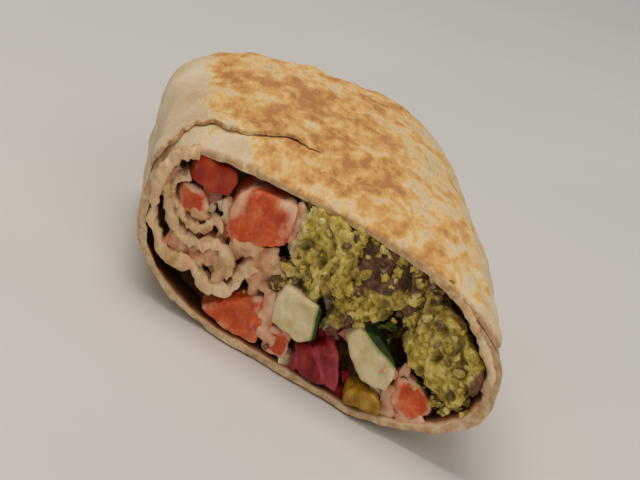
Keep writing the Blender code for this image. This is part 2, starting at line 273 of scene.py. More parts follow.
def cut_tomato():
    """Ripe tomato, diced: wet red flesh that lets light in, paler and pinker towards its core,
    smeared with creamy sauce."""
    made, tree, where, deep, smear = start_finish(
        "ripe_tomato_flesh", ("deep", "smear"), 0.28, 1.36, 0.25, (3.0, 0.9, 0.5))
    flesh = add(tree, "TexNoise", {"Vector": where, "Scale": per(4.0), "Detail": 3.0})
    fibres = add(tree, "TexNoise", {"Vector": where, "Scale": per(1.1), "Detail": 3.0, "Roughness": 0.6})
    runs = add(tree, "TexNoise", {
        "Vector": where, "Scale": per(2.8), "Detail": 4.0, "Roughness": 0.62, "Distortion": 0.4})
    red = add(tree, "ValToRGB", {"Fac": flesh}, stops=[(0.30, "C03C12"), (0.50, "D65A26"), (0.72, "E68448")])
    veins = add(tree, "ValToRGB", {"Fac": fibres}, stops=[(0.52, 0.0), (0.78, 0.45)])
    red = add(tree, "Mix", {0: veins, 6: red, 7: "EFA27C"}, 2, data_type="RGBA")
    red = add(tree, "Mix", {0: deep, 6: red, 7: "A02408"}, 2, data_type="RGBA")
    red = under_sauce(tree, red, runs, smear, [(0.62, 0.0), (1.02, 0.85)], "EFC8A6")
    return end_finish(made, red, fibres, 0.25)


def cut_cucumber():
    """Cucumber, diced with its skin on: wet pale green flesh under a dark green waxy skin."""
    made, tree, where, skin, smear = start_finish(
        "cucumber_flesh_and_skin", ("skin", "smear"), 0.30, 1.36, 0.22, (1.8, 2.0, 0.8))
    flesh = add(tree, "TexNoise", {"Vector": where, "Scale": per(3.2), "Detail": 3.0})
    runs = add(tree, "TexNoise", {
        "Vector": where, "Scale": per(2.4), "Detail": 4.0, "Roughness": 0.62, "Distortion": 0.4})
    green = add(tree, "ValToRGB", {"Fac": flesh}, stops=[
        (0.30, "C9B67E"), (0.52, "DACA98"), (0.74, "EADDBA")])
    under = add(tree, "ValToRGB", {"Fac": skin}, stops=[(0.30, 0.0), (0.72, 1.0)])
    green = add(tree, "Mix", {0: under, 6: green, 7: "8F9A45"}, 2, data_type="RGBA")
    rind = add(tree, "ValToRGB", {"Fac": skin}, stops=[(0.70, 0.0), (0.84, 1.0)])
    waxy = add(tree, "ValToRGB", {"Fac": runs}, stops=[(0.35, "1A2C0C"), (0.65, "3A5220")])
    green = add(tree, "Mix", {0: rind, 6: green, 7: waxy}, 2, data_type="RGBA")
    green = under_sauce(tree, green, runs, smear, [(0.60, 0.0), (0.95, 0.8)], "EED6B4")
    return end_finish(made, green, runs, 0.2)


def cut_red_onion():
    """Red onion, chopped: wet, glassy purple-red layers with paler seams between them, and a painted
    highlight on one side.
    """
    made, tree, where, seam, smear = start_finish(
        "red_onion_layers", ("seam", "smear"), 0.25, 1.36, 0.15, (2.0, 0.6, 0.9))
    cells = add(tree, "TexNoise", {"Vector": where, "Scale": per(2.2), "Detail": 4.0, "Roughness": 0.6})
    red = add(tree, "ValToRGB", {"Fac": cells}, stops=[(0.30, "5A080A"), (0.50, "861216"), (0.72, "AE3336")])
    # Pale seams between layers, and a painted highlight, take the paler red
    pale = add(tree, "Math", {0: seam, 1: cells}, operation="MULTIPLY")
    red = add(tree, "Mix", {0: pale, 6: red, 7: "BE4A54"}, 2, data_type="RGBA")
    red = under_sauce(tree, red, cells, smear, [(0.62, 0.0), (0.98, 0.7)], "E8BCA4")
    return end_finish(made, red, cells, 0.2, 0.7)


def pickled_pepper():
    """Pickled green pepper: thin, wet, olive-yellow flesh with a smooth shining skin."""
    made, tree, where = start_finish("pickled_green_pepper", (), 0.22, 1.37, 0.15, (1.6, 1.4, 0.4))
    flesh = add(tree, "TexNoise", {"Vector": where, "Scale": per(2.2), "Detail": 4.0, "Distortion": 0.4})
    olive = add(tree, "ValToRGB", {"Fac": flesh}, stops=[
        (0.32, "7C5608"), (0.50, "A27614"), (0.70, "C69A3C")])
    return end_finish(made, olive, flesh, 0.2)


def broken_falafel():
    """Falafel, fried and cut: coarse moist chickpea meal, green with herbs, inside a dry dark
    brown fried crust."""
    made, tree, where, crust, crack, tone, smear = start_finish(
        "falafel_meal_and_crust", ("crust", "crack", "tone", "smear"),
        0.68, 1.42, 0.08, (1.2, 1.2, 0.5))
    meal = add(tree, "TexNoise", {
        "Vector": where, "Scale": per(2.6), "Detail": 5.0, "Roughness": 0.68, "Distortion": 0.3})
    bits = add(tree, "TexNoise", {"Vector": where, "Scale": per(0.8), "Detail": 2.0})
    level = add(tree, "Math", {0: tone, 1: 0.16, 2: meal}, operation="MULTIPLY_ADD")
    food = add(tree, "ValToRGB", {"Fac": level}, stops=[
        (0.26, "7A6216"), (0.40, "AC9034"), (0.52, "CBB14C"), (0.64, "DCC874"), (0.80, "ECDCA6")])
    husks = add(tree, "ValToRGB", {"Fac": bits}, stops=[(0.60, 0.0), (0.68, 0.8)])
    food = add(tree, "Mix", {0: husks, 6: food, 7: "5B5A14"}, 2, data_type="RGBA")
    fried = add(tree, "ValToRGB", {"Fac": meal}, stops=[(0.34, "30190E"), (0.50, "64412A"), (0.70, "A87C54")])
    edge = add(tree, "Math", {0: meal, 1: 1.1, 2: crust}, operation="MULTIPLY_ADD")
    share = add(tree, "ValToRGB", {"Fac": edge}, stops=[(0.80, 0.0), (1.0, 1.0)])
    food = add(tree, "Mix", {0: share, 6: food, 7: fried}, 2, data_type="RGBA")
    # Painted shade: the meal darkens to brown-black down its pits and cracks
    food = add(tree, "Mix", {0: crack, 6: food, 7: "3A260C"}, 2, data_type="RGBA")
    food = under_sauce(tree, food, meal, smear, [(0.62, 0.0), (0.95, 0.75)], "E2CBA2")
    rise = add(tree, "Math", {0: bits, 1: 0.5, 2: meal}, operation="MULTIPLY_ADD")
    return end_finish(made, food, rise, 0.6, 0.9)


def creamy_sauce():
    """Tahini and yogurt sauce, pinkish where tomato juice has run into it: smooth, wet, opaque."""
    made, tree, where, pink = start_finish(
        "tahini_yogurt_sauce", ("pink",), 0.34, 1.38, 0.20, (2.0, 1.3, 0.8))
    runs = add(tree, "TexNoise", {"Vector": where, "Scale": per(4.0), "Detail": 4.0, "Distortion": 0.5})
    cream = add(tree, "ValToRGB", {"Fac": runs}, stops=[(0.32, "DDB98C"), (0.50, "E8CFA8"), (0.70, "F2E2C8")])
    rosy = add(tree, "ValToRGB", {"Fac": runs}, stops=[(0.32, "D58A5E"), (0.50, "E2A883"), (0.70, "EDC9AE")])
    cream = add(tree, "Mix", {0: pink, 6: cream, 7: rosy}, 2, data_type="RGBA")
    return end_finish(made, cream, runs, 0.3, 0.7)


def packed_salad():
    """The salad deep behind the cut: wet chopped leaf, onion and crumbs, with painted shade in dark patches
    for the gaps between the pieces.
    """
    made, tree, where = start_finish("packed_chopped_salad", (), 0.45, 1.38)
    kinds = add(tree, "TexVoronoi", {"Vector": where, "Scale": per(4.5)}, "Color")
    shade = add(tree, "TexNoise", {"Vector": where, "Scale": per(2.2), "Detail": 4.0, "Roughness": 0.6})
    tint = add(tree, "ValToRGB", {"Fac": kinds}, stops=[
        (0.15, "4A1C0C"), (0.30, "7A3A1C"), (0.44, "3C3A12"),
        (0.58, "8A6436"), (0.70, "5A141A"), (0.84, "6A6028")])
    # Painted shade: patches darken towards near-black brown, for the gaps between the pieces
    dark = add(tree, "ValToRGB", {"Fac": shade}, stops=[(0.35, 0.75), (0.65, 0.10)])
    tint = add(tree, "Mix", {0: dark, 6: tint, 7: "1C0E06"}, 2, data_type="RGBA")
    return end_finish(made, tint, shade, 0.8, 0.9)


def chopped_parsley():
    """Chopped parsley: thin, dark, limp and wet."""
    made, tree, where = start_finish("chopped_wet_parsley", (), 0.4, 1.4)
    tone = add(tree, "TexNoise", {"Vector": where, "Scale": per(2.0), "Detail": 2.0})
    leaf = add(tree, "ValToRGB", {"Fac": tone}, stops=[(0.35, "27340C"), (0.55, "4C5C1A"), (0.75, "7E8C38")])
    return end_finish(made, leaf)


def painted_table():
    """A plain painted table top: matt, and very slightly uneven in tone."""
    made, tree, where = start_finish("matt_painted_table", (), 0.65, 1.3)
    tone = add(tree, "TexNoise", {"Vector": where, "Scale": per(120.0), "Detail": 2.0})
    paint = add(tree, "ValToRGB", {"Fac": tone}, stops=[(0.3, "D8D6D2"), (0.7, "DDDBD7")])
    return end_finish(made, paint)


# ---------------------------------------------------------------- making pieces


def make_piece(name, points, faces, finish, values=None, sharp=None):
    """Turns points and faces into a smooth piece that rides with the wrap."""
    mesh = bpy.data.meshes.new(name)
    mesh.from_pydata(np.asarray(points, float).tolist(), [], faces)
    mesh.materials.append(finish)
    mesh.shade_smooth()
    if sharp:
        mesh.set_sharp_from_angle(angle=math.radians(sharp))
    for key, numbers in (values or {}).items():
        carried = np.broadcast_to(np.asarray(numbers, np.float32), len(points)).copy()
        mesh.attributes.new(key, "FLOAT", "POINT").data.foreach_set("value", carried)
    made = bpy.data.objects.new(name, mesh)
    bpy.context.scene.collection.objects.link(made)
    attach(made, "root")
    return made


def sheet_faces(first, rows, columns, flip=False, closed=False):
    """Faces of a grid of points laid out row by row, closed round its columns if asked."""
    faces = []
    for r in range(rows - 1):
        for c in range(columns if closed else columns - 1):
            d = (c + 1) % columns
            a, b = first + r * columns, first + (r + 1) * columns
            face = (a + c, a + d, b + d, b + c)
            faces.append(face[::-1] if flip else face)
    return faces


def surface_normals(points, faces):
    """Smooth outward directions of a closed skin's points."""
    mesh = bpy.data.meshes.new("scratch")
    mesh.from_pydata(points.tolist(), [], faces)
    normals = np.empty(len(points) * 3)
    mesh.vertex_normals.foreach_get("vector", normals)
    bpy.data.meshes.remove(mesh)
    return normals.reshape(-1, 3)


def end_share(distance, radius, power):
    """How much of its full size the wrap has reached at a distance from the folded end."""
    short = np.clip(1.0 - distance / radius, 0.0, 1.0)
    return (1.0 - short**power) ** (1.0 / power)


def section(angle, distance, inset=0.0):
    """Points (x, z) of the wrap's cross-section at angles from +X."""
    half_width = WIDTH / 2 * end_share(distance, END_PLAN_RADIUS, END_PLAN_POWER) - inset
    rise = end_share(distance, END_TOP_RADIUS, END_TOP_POWER)
    drop = end_share(distance, END_BASE_RADIUS, END_BASE_POWER)
    top = END_SEAM_HEIGHT + (HEIGHT - FLAP_STEP - END_SEAM_HEIGHT) * rise - inset
    base = END_SEAM_HEIGHT * (1.0 - drop) + inset
    middle = base + (top - base) * SHOULDER_LEVEL
    c, s = np.cos(angle), np.sin(angle)
    power = np.where(s >= 0, np.where(c >= 0, SHARP_SIDE_TOP, BLUNT_SIDE_TOP),
                     np.where(c >= 0, SHARP_SIDE_BASE, BLUNT_SIDE_BASE))
    x = np.sign(c) * np.abs(c) ** (2 / power) * half_width
    level = np.abs(s) ** (2 / power)
    over = middle + (top - middle) * level
    under = np.maximum(base, middle - BASE_PRESS * (middle - base) * level)
    return x, np.where(s >= 0, over, under)


GIRTH_STEPS = 20000
ANGLES = math.pi / 2 + np.linspace(0.0, TAU, GIRTH_STEPS + 1)
STEPS = np.hypot(*[np.diff(c) for c in section(ANGLES, 1.0)])
GIRTHS = np.concatenate([[0.0], np.cumsum(STEPS)])
GIRTH = GIRTHS[-1]  # all the way round the wrap, leftwards from the middle of its top


def angle_at(girth):
    """The angle from +X at a distance round the wrap from the middle of its top."""
    turns = np.floor(np.asarray(girth) / GIRTH)
    return np.interp(girth - turns * GIRTH, GIRTHS, ANGLES) + turns * TAU


def girth_at(angle):
    """How far round the wrap an angle from +X lies from the middle of its top."""
    turns = np.floor((np.asarray(angle) - ANGLES[0]) / TAU)
    return np.interp(angle - turns * TAU, ANGLES, GIRTHS) + turns * GIRTH


def cut_y(x):
    """Where the cut crosses a line along the wrap."""
    return FOLDED_END_Y - LONG_SIDE + (WIDTH / 2 - x) * CUT_COTANGENT


def flap_angle(distance):
    """Where round the wrap the outermost lap's edge lies: further round near the folded end."""
    return FLAP_ANGLE + FLAP_CURL * np.clip(1.0 - distance / FLAP_CURL_LENGTH, 0.0, 1.0) ** 1.5


def flap_rise(turn):
    """How far the outermost lap stands off the one under it, at a turn on from its edge."""
    return FLAP_STEP * np.clip(1.0 - turn / FLAP_FADE, 0.0, 1.0)


def press(angle, behind):
    """How far the knife pressed the bread down and in, close behind the cut: most on top."""
    top = smooth(0.15, 0.80, np.sin(angle)) * (0.75 + 0.25 * smooth(0.75, 0.0, np.cos(angle)))
    reach = 0.0030 + 0.0125 * top
    return (0.0003 + 0.0029 * top) * np.clip(1.0 - behind / reach, 0.0, 1.0) ** 1.8


def bread_relief(p, behind):
    """Height of the bread's uneven skin: the swell of its top, slow sags, blisters, creases
    along it and fine grain."""
    away = 0.35 + 0.65 * smooth(0.0, 0.014, behind)
    top = smooth(0.024, 0.040, p[..., 2]) * smooth(0.080, 0.062, p[..., 1])
    swell = 0.0021 * smooth(0.012, 0.050, behind) * top
    sag = 0.0011 * grain(p, 0.030, 3, (1.0, 1.4, 1.0)) * away
    blister = 0.00075 * np.clip(grain(p, 0.0085, 7, (1.0, 1.5, 1.0)) - 0.05, 0.0, 1.0)
    crease = 0.00028 * grain(p, 0.0032, 11, (1.0, 5.0, 1.0)) * (0.4 + 0.6 * away)
    fine = 0.00010 * grain(p, 0.0013, 5) + 0.00016 * grain(p, 0.0040, 6)
    return swell + sag + blister + crease + fine


def toasting(p):
    """How strongly the griddle toasted a spot: the top most, the base, hardly the sides."""
    x, y, z = p[..., 0] / MM, p[..., 1] / MM, p[..., 2] / MM
    behind = (p[..., 1] - cut_y(p[..., 0])) / MM
    top = smooth(28.0, 39.5, z) * smooth(-37.0, -26.5, x) * smooth(79.5, 64.0, y)
    base = 0.85 * smooth(1.8, 0.3, z)
    lip = smooth(-10.0, -24.0, x) * smooth(22.0, 12.0, behind) * 0.60
    edge = 0.22 * smooth(8.0, 30.0, x)
    return np.clip(np.maximum(top, base) * (1.0 - lip) - edge, 0.0, 1.0)


COLUMNS = 260  # steps round the skin, and round the wall inside it
LAP_ROOT = 0.0062  # how far under the outermost lap its crevice runs
LAP_COLUMNS = 9  # places across the outermost lap's part that overhangs the crevice
LAP_FADE_POWER = 2.0
UNDERSIDE_LIFT = 0.00028  # the outermost lap's underside, over the skin that it lies on
UNDER_LAP = -0.00005  # the skin that the outermost lap lies on
EDGE_TURNS = np.array((0.006, 0.010, 0.006))  # how far its rounded edge stands out, in radians
EDGE_RISES = (0.00050, 0.00080, 0.00112)
EDGE_SHOULDER = 0.00128
END_ROWS = 50
RUN_ROWS = 110
END_CLOSE = 0.25  # where the folded end's first ring lies, in rings
ROW_CROWDING = 1.6  # rings crowd towards the folded end and towards the cut
# Rings of the cut rim and the wall inside it, in millimetres: the depth behind the cut and how
# much nearer the skin than the bread's thickness; and how far sauce soaks in, with painted shade deeper in
WALL_RINGS = (
    (0.0, 0.5, 0.0), (0.4, 0.2, 0.15), (1.5, 0.0, 0.60), (4.0, 0.0, 0.90),
    (8.0, 0.0, 1.0), (14.0, 0.0, 1.0), (22.0, 0.0, 1.0), (34.0, 0.0, 1.0))
WALL_FLOOR = 0.0016  # the least thickness of the bread under the filling
RIM_DEPTH = 0.005  # how deep the rim's raggedness reaches along the skin
CORNER_SETBACK = 0.0026
CREASE_ANGLE = 60.0  # edges sharper than this, in degrees, stay crisp


def outer_row(distance, run):
    """The outer skin's ring: round from the crevice under the lap, and out to the lap's edge.
    Up to the rounded length it is square across; a run of 1 is the cut."""
    start = float(flap_angle(distance))
    root = float(girth_at(start)) + LAP_ROOT
    angles = angle_at(root + GIRTH * np.arange(COLUMNS + 1) / COLUMNS)
    turns = angles - start
    rises = np.where(turns < TAU - 1e-6, flap_rise(turns), UNDER_LAP)
    back = angle_at(root - LAP_ROOT * np.linspace(0.0, 1.0, LAP_COLUMNS))
    over = flap_rise(back[::-1][:-1] - start)
    over[0] = EDGE_SHOULDER
    angles = np.concatenate([angles, back, back[-1] - EDGE_TURNS, back[::-1][:-1]])
    rises = np.concatenate([rises, np.full(LAP_COLUMNS, UNDERSIDE_LIFT), EDGE_RISES, over])
    rises = rises * float(end_share(distance, END_PLAN_RADIUS, LAP_FADE_POWER))
    x, z = section(angles, distance)
    x, z = x + np.cos(angles) * rises, z + np.sin(angles) * rises
    length = FOLDED_END_Y - cut_y(x)
    along = distance + (length - distance) * run
    behind = length - along
    fall = press(angles, behind)
    x, z = x - np.cos(angles) * fall, np.maximum(z - np.sin(angles) * fall, 0.0)
    return np.stack([x, FOLDED_END_Y - along, z], 1), behind


def wall_ring(angles, depth, nearer):
    """One ring of the bread's inner face, at a depth behind the cut."""
    c, level = np.cos(angles), np.sin(angles)
    ring = np.stack([c, level, 0 * angles], 1) * 0.03
    thin = 0.0010 * smooth(0.1, 0.8, level) + 0.0005 * smooth(-0.3, -0.9, level)
    thin = thin * math.exp(-depth / 0.006)
    uneven = 0.0005 * grain(ring, 0.006, 21) + 0.0003 * grain(ring, 0.002, 22)
    x, z = section(angles, 1.0, BREAD - nearer - thin + uneven)
    fall = press(angles, depth) * 0.95
    return np.stack([x - c * fall, cut_y(x) + depth, np.maximum(z - level * fall, WALL_FLOOR)], 1)


def bread_shell():
    """The folded flatbread: its blistered skin, the outermost lap's edge, the cut rim and the
    wall inside, down to where the filling hides it."""
    rows = [outer_row(((i + END_CLOSE) / END_ROWS) ** ROW_CROWDING * ROUNDED_LENGTH, 0.0)
            for i in range(END_ROWS)]
    rows += [outer_row(ROUNDED_LENGTH, 1.0 - (1.0 - i / RUN_ROWS) ** ROW_CROWDING)
             for i in range(RUN_ROWS + 1)]
    around = len(rows[0][0])
    skin = np.concatenate([row for row, _ in rows])
    behind = np.concatenate([b for _, b in rows])
    faces = sheet_faces(0, len(rows), around, False, True)
    cap = len(skin)
    faces += [((c + 1) % around, c, cap) for c in range(around)]
    rim = (len(rows) - 1) * around
    inner = cap + 1
    start = float(girth_at(FLAP_ANGLE)) + LAP_ROOT
    angles = angle_at(start + GIRTH * np.arange(COLUMNS) / COLUMNS)
    wall = [wall_ring(angles, depth * MM, nearer * MM) for depth, nearer, _ in WALL_RINGS]
    faces += sheet_faces(inner, len(wall), COLUMNS, False, True)
    last = inner + (len(wall) - 1) * COLUMNS
    plug = last + COLUMNS
    faces += [(last + c, last + (c + 1) % COLUMNS, plug) for c in range(COLUMNS)]
    # The cut rim, with the outermost lap's own cut edge
    faces += [(rim + c, rim + c + 1, inner + (c + 1) % COLUMNS, inner + c) for c in range(COLUMNS)]
    under = rim + COLUMNS + 1
    top = under + LAP_COLUMNS + 3
    faces.append((inner, rim + COLUMNS, under, rim))
    tops = [rim] + [top + k for k in range(LAP_COLUMNS - 2, -1, -1)]
    faces += [(under + k, under + k + 1, tops[k + 1], tops[k]) for k in range(LAP_COLUMNS - 1)]
    tip = under + LAP_COLUMNS - 1
    faces.append((tip, tip + 1, tip + 2, tip + 3, tops[-1]))
    points = np.concatenate([skin, [rows[0][0].mean(0) + (0.0, 0.0002, 0.0)], *wall, [wall[-1].mean(0)]])
    outside = np.arange(len(points)) < inner
    behind = np.concatenate([behind, [1.0], np.zeros(len(points) - inner)])
    normals = surface_normals(points, faces)
    height = np.where(outside, bread_relief(points, behind), 0.00020 * grain(points, 0.003, 2))
    # Folded pleats run together at the end; the base stays flat on the table
    pleat = smooth(0.030, 0.004, FOLDED_END_Y - points[:, 1]) * outside
    around_end = np.arctan2(points[:, 2] - 0.018, points[:, 0])
    ring = np.stack([np.cos(around_end), np.sin(around_end), 0 * around_end], 1) * 0.02
    height = height + pleat * 0.0009 * grain(ring, 0.0045, 13)
    resting = outside & (points[:, 2] < 0.003) & (normals[:, 2] < -0.4)
    height = np.where(resting, np.minimum(height, 0.0), height)
    points = points + normals * height[:, None]
    # The cut rim is ragged, and set back at the blunt side's upper corner
    near = np.clip(1.0 - behind / RIM_DEPTH, 0.0, 1.0) * outside
    near[inner:inner + 2 * COLUMNS] = 1.0
    ragged = 0.0013 * grain(points, 0.008, 9, (1, 9, 1)) + 0.0006 * grain(points, 0.0026, 4, (1, 9, 1))
    corner = smooth(-34.0, -39.0, points[:, 0] / MM) * smooth(27.0, 33.0, points[:, 2] / MM)
    points[:, 1] += near * (ragged + CORNER_SETBACK * corner)
    points[:, 2] = np.maximum(points[:, 2], 0.0)
    lip = np.zeros(len(points), bool)
    lip[inner:inner + COLUMNS] = True
    # Sauce soaking of the inner wall, darkening deeper in as painted shade
    soaked = np.zeros(len(points))
    soaked[inner:-1] = np.repeat([juice for _, _, juice in WALL_RINGS], COLUMNS)
    crumb = 0.30 * np.clip(1.0 - behind / 0.0006, 0.0, 1.0)
    values = {
        "griddled": np.where(outside | lip, toasting(points), 0.0),
        "torn": np.clip(1.0 - behind / 0.0020, 0.0, 1.0) * (outside | lip) * 0.9,
        "inside": np.where(outside, crumb, np.where(lip, 0.45, 1.0)),
        "soaked": soaked}
    shell = make_piece("bread_shell", points, faces, FLATBREAD, values, CREASE_ANGLE)
    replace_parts(shell, "tortilla")


def smooth_line(points, count):
    """Evenly spaced points on a smooth curve through a line of points."""
    line = [np.array(p, float) for p in points]
    padded = [2 * line[0] - line[1], *line, 2 * line[-1] - line[-2]]
    fine = []
    for a, b, c, d in zip(padded, padded[1:], padded[2:], padded[3:]):
        for t in np.arange(24) / 24:
            bend = (2 * a - 5 * b + 4 * c - d) * t**2 + (3 * b - a - 3 * c + d) * t**3
            fine.append(0.5 * (2 * b + (c - a) * t + bend))
    fine = np.array(fine + [line[-1]])
    run = np.concatenate([[0.0], np.cumsum(np.linalg.norm(np.diff(fine, axis=0), axis=1))])
    even = np.linspace(0.0, run[-1], count)
    return np.stack([np.interp(even, run, fine[:, k]) for k in range(fine.shape[1])], 1)


def slab_faces(rows, columns):
    """Faces of a closed slab: an upper grid, a lower grid after it, and the walls between."""
    half = rows * columns
    faces = sheet_faces(0, rows, columns) + sheet_faces(half, rows, columns, True)
    last = half - columns
    for c in range(columns - 1):
        faces.append((c + 1, c, half + c, half + c + 1))
        faces.append((last + c, last + c + 1, half + last + c + 1, half + last + c))
    for r in range(rows - 1):
        a, b = r * columns, (r + 1) * columns
        faces.append((a, b, half + b, half + a))
        faces.append((b + columns - 1, a + columns - 1, half + a + columns - 1, half + b + columns - 1))
    return faces


def bread_lap(name, line, thickness, reach, depth, seed, count):
    """An inner lap of soft bread, seen on edge in the cut: a crumpled sheet with a rounded,
    swollen cut edge, that runs in along the wrap. Its line (u, v), its thickness, how far it
    stands proud of the cut and how deep it runs are in millimetres."""
    path = smooth_line(line, count)
    along = np.gradient(path, axis=0)
    along /= np.linalg.norm(along, axis=1)[:, None]
    side = np.stack([-along[:, 1], along[:, 0]], 1)
    # How thick the lap is, as a share, at each depth: a rounded, slightly swollen cut edge
    depths = np.array([0.0, 0.10, 0.35, 0.8, 1.5, 2.5, 3.8, 5.5, 8.0, 12.0, depth])
    full = np.array([0.35, 0.62, 0.88, 1.05, 1.08, 1.0, 0.95, 0.95, 1.0, 1.0, 1.0])
    k, d = np.meshgrid(np.arange(count), depths)
    spot = np.stack([k * 0.3, d, 0 * d], -1)
    thick = thickness * (1.0 + 0.60 * grain(spot, 3.4, seed) + 0.35 * grain(spot, 1.3, seed + 5))
    thick = np.maximum(thick, 0.45 * thickness) * np.minimum(1.0, (count - 1 - k) / 7.0 + 0.30)
    wobble = 1.0 * grain(spot, 5.0, seed + 1) + 0.5 * grain(spot, 2.0, seed + 4)
    edge = spot * (1, 0, 1)
    proud = reach + 1.5 * grain(edge, 5.0, seed + 2) + 0.7 * grain(edge, 1.8, seed + 6)
    sheets = []
    for way in (1, -1):
        off = way * thick / 2 * full[:, None] + wobble
        u, v = (path[None, :, i] + side[None, :, i] * off for i in (0, 1))
        sheets.append(on_cut(u, v, d - proud))
    points = np.concatenate([s.reshape(-1, 3) for s in sheets])
    faces = slab_faces(len(depths), count)
    normals = surface_normals(points, faces)
    rise = 0.00034 * grain(points, 0.0024, seed + 3) + 0.00014 * grain(points, 0.0010, seed)
    points = points + normals * rise[:, None]
    inside = np.tile(0.55 + 0.45 * smooth(2.5, 0.0, d).reshape(-1), 2)
    # Sauce soaks the lap in patches, and it darkens deeper behind the cut as painted shade
    soaked = np.tile((0.16 + 0.34 * grain(spot, 3.0, seed + 7) + 0.55 * smooth(0.8, 5.0, d)).reshape(-1), 2)
    make_piece(name, points, faces, FLATBREAD,
               {"griddled": 0.12, "torn": 0.0, "inside": inside, "soaked": soaked})


def torn_lap():
    """The flatbread's own edge: the outermost lap ends in a torn, browned line that runs from the
    blunt corner back over the top, and leaves the paler lap under it showing."""
    # The torn line: how far round from the middle of the top, and how far behind the cut, in mm
    line = [(0.0, 31.5), (5.0, 27.4), (9.4, 25.0), (13.5, 22.4), (17.5, 17.4), (20.5, 13.8), (24.0, 12.2),
            (28.0, 14.0), (32.0, 12.6), (34.6, 9.6), (37.4, 4.0), (40.5, 1.2), (45.0, 0.4), (50.0, 0.2)]
    count = 300
    path = smooth_line(line, count)
    backs = np.array([0.0, 0.08, 0.25, 0.6, 1.1, 1.8, 2.8, 4.2, 6.0, 8.5, 11.5, 15.0, 19.0])
    k, w = np.meshgrid(np.arange(count), backs)
    spot = np.stack([k * 0.2, w, 0 * w], -1)
    girth = np.broadcast_to(path[:, 0], k.shape)
    tear = 1.1 * grain(spot * (1, 0, 1), 2.6, 2) + 0.5 * grain(spot * (1, 0, 1), 0.9, 7)
    behind = path[:, 1] + tear * smooth(52.0, 38.0, girth) + w
    thick = 1.15 * smooth(1.0, 12.0, girth) * smooth(50.0, 42.0, girth)
    curl = (0.32 + 0.40 * grain(spot * (1, 0, 1), 4.5, 4)) * np.exp(-w / 1.8) * thick
    sink = smooth(5.0, 18.0, w)
    sheets = []
    for upper in (True, False):
        if upper:
            lift = (thick * (1.0 - 0.55 * np.exp(-w / 0.20)) + curl) * (1.0 - sink) - 0.5 * sink
        else:
            lift = np.minimum(curl * 0.9 + 0.08 - 0.9 * smooth(1.0, 5.0, w), thick + curl - 0.08)
        angle = angle_at(girth * MM)
        start = (angle - FLAP_ANGLE) % TAU
        x, z = section(angle, 1.0)
        y = cut_y(x) + behind * MM
        rise = flap_rise(start) - press(angle, behind * MM) + lift * MM
        rise = rise + bread_relief(np.stack([x, y, z], -1), behind * MM)
        sheets.append(np.stack([x + np.cos(angle) * rise, y, z + np.sin(angle) * rise], -1).reshape(-1, 3))
    points = np.concatenate(sheets)
    scorch = 0.75 * np.exp(-w / 1.3) * np.clip(thick / 1.1, 0, 1)
    upper_side = np.maximum(toasting(sheets[0]), scorch.reshape(-1) * 0.9)
    griddled = np.concatenate([upper_side, np.zeros(k.size)])
    torn = np.tile((np.exp(-w / 0.55) * smooth(4.0, 12.0, girth)).reshape(-1), 2)
    inside = np.concatenate([np.zeros(k.size), np.full(k.size, 0.6)])
    make_piece("torn_lap", points, slab_faces(len(backs), count), FLATBREAD,
               {"griddled": griddled, "torn": torn, "inside": inside})


def even_mesh(meshed, voxel, smoothing=3):
    """A closed mesh made over as even small faces: its points, directions and faces."""
    scratch = bpy.data.objects.new("scratch", meshed)
    bpy.context.scene.collection.objects.link(scratch)
    remesh = scratch.modifiers.new("even", "REMESH")
    remesh.mode = "VOXEL"
    remesh.voxel_size = voxel
    soften = scratch.modifiers.new("soften", "SMOOTH")
    soften.factor = 0.5
    soften.iterations = smoothing
    mesh = bpy.data.meshes.new_from_object(scratch.evaluated_get(bpy.context.evaluated_depsgraph_get()))
    bpy.data.objects.remove(scratch, do_unlink=True)
    points, normals = np.empty(len(mesh.vertices) * 3), np.empty(len(mesh.vertices) * 3)
    mesh.vertices.foreach_get("co", points)
    mesh.vertex_normals.foreach_get("vector", normals)
    faces = [tuple(f.vertices) for f in mesh.polygons]
    bpy.data.meshes.remove(mesh)
    return points.reshape(-1, 3), normals.reshape(-1, 3), faces


KEPT_DEPTH = 0.0105  # deeper behind the cut than this, the bread and filling hide a piece
FINE_VOXEL = 0.00034
VOXEL = 0.00038
COARSE_VOXEL = 0.00040
WELD = 1e-6


def food_piece(node, finish, voxel, shape, paint):
    """The front of a piece of food, made over from its solid: shape gives the rise of its points,
    and paint the values that they carry."""
    bm = bmesh.new()
    bm.from_mesh(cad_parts[node].data)
    bmesh.ops.remove_doubles(bm, verts=bm.verts[:], dist=WELD)
    cut = bmesh.ops.bisect_plane(
        bm, geom=bm.verts[:] + bm.edges[:] + bm.faces[:], clear_outer=True,
        plane_co=Vector(BLUNT_CORNER) + Vector(INWARD) * KEPT_DEPTH, plane_no=Vector(INWARD))
    bmesh.ops.holes_fill(bm, edges=[e for e in cut["geom_cut"] if isinstance(e, bmesh.types.BMEdge)])
    mesh = bpy.data.meshes.new(node)
    bm.to_mesh(mesh)
    bm.free()
    points, normals, faces = even_mesh(mesh, voxel)
    risen = points + normals * shape(points)[:, None]
    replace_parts(make_piece(f"{node}_cut", risen, faces, finish, paint(points)), node)


def rim_smear(node, p, amount, seed):
    """Sauce gathers towards the rims of a piece's cut face, in patches."""
    low, high = (np.array(c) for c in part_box(node))
    off = np.abs(p - (low + high) / 2) / ((high - low) / 2)
    return amount * smooth(0.30, 1.0, np.maximum(off[:, 0], off[:, 2])) * (0.7 + 0.9 * grain(p, 0.005, seed))


def uneven(p, seed, *lumps):
    """A soft unevenness, from lumps of (height, size) in metres."""
    return sum(height * grain(p, size, seed) for height, size in lumps)


def tomato_piece(node, seed, smear, deep):
    """A tomato dice, smeared by an amount and ripened to a deeper red by a share."""
    food_piece(
        node, TOMATO, COARSE_VOXEL,
        lambda p: uneven(p, seed, (0.0007, 0.0065), (0.0004, 0.0026), (0.00012, 0.0009)),
        lambda p: {"smear": rim_smear(node, p, smear, seed),
                   "deep": np.clip(deep + 0.5 * grain(p, 0.005, seed + 3), 0, 1)})


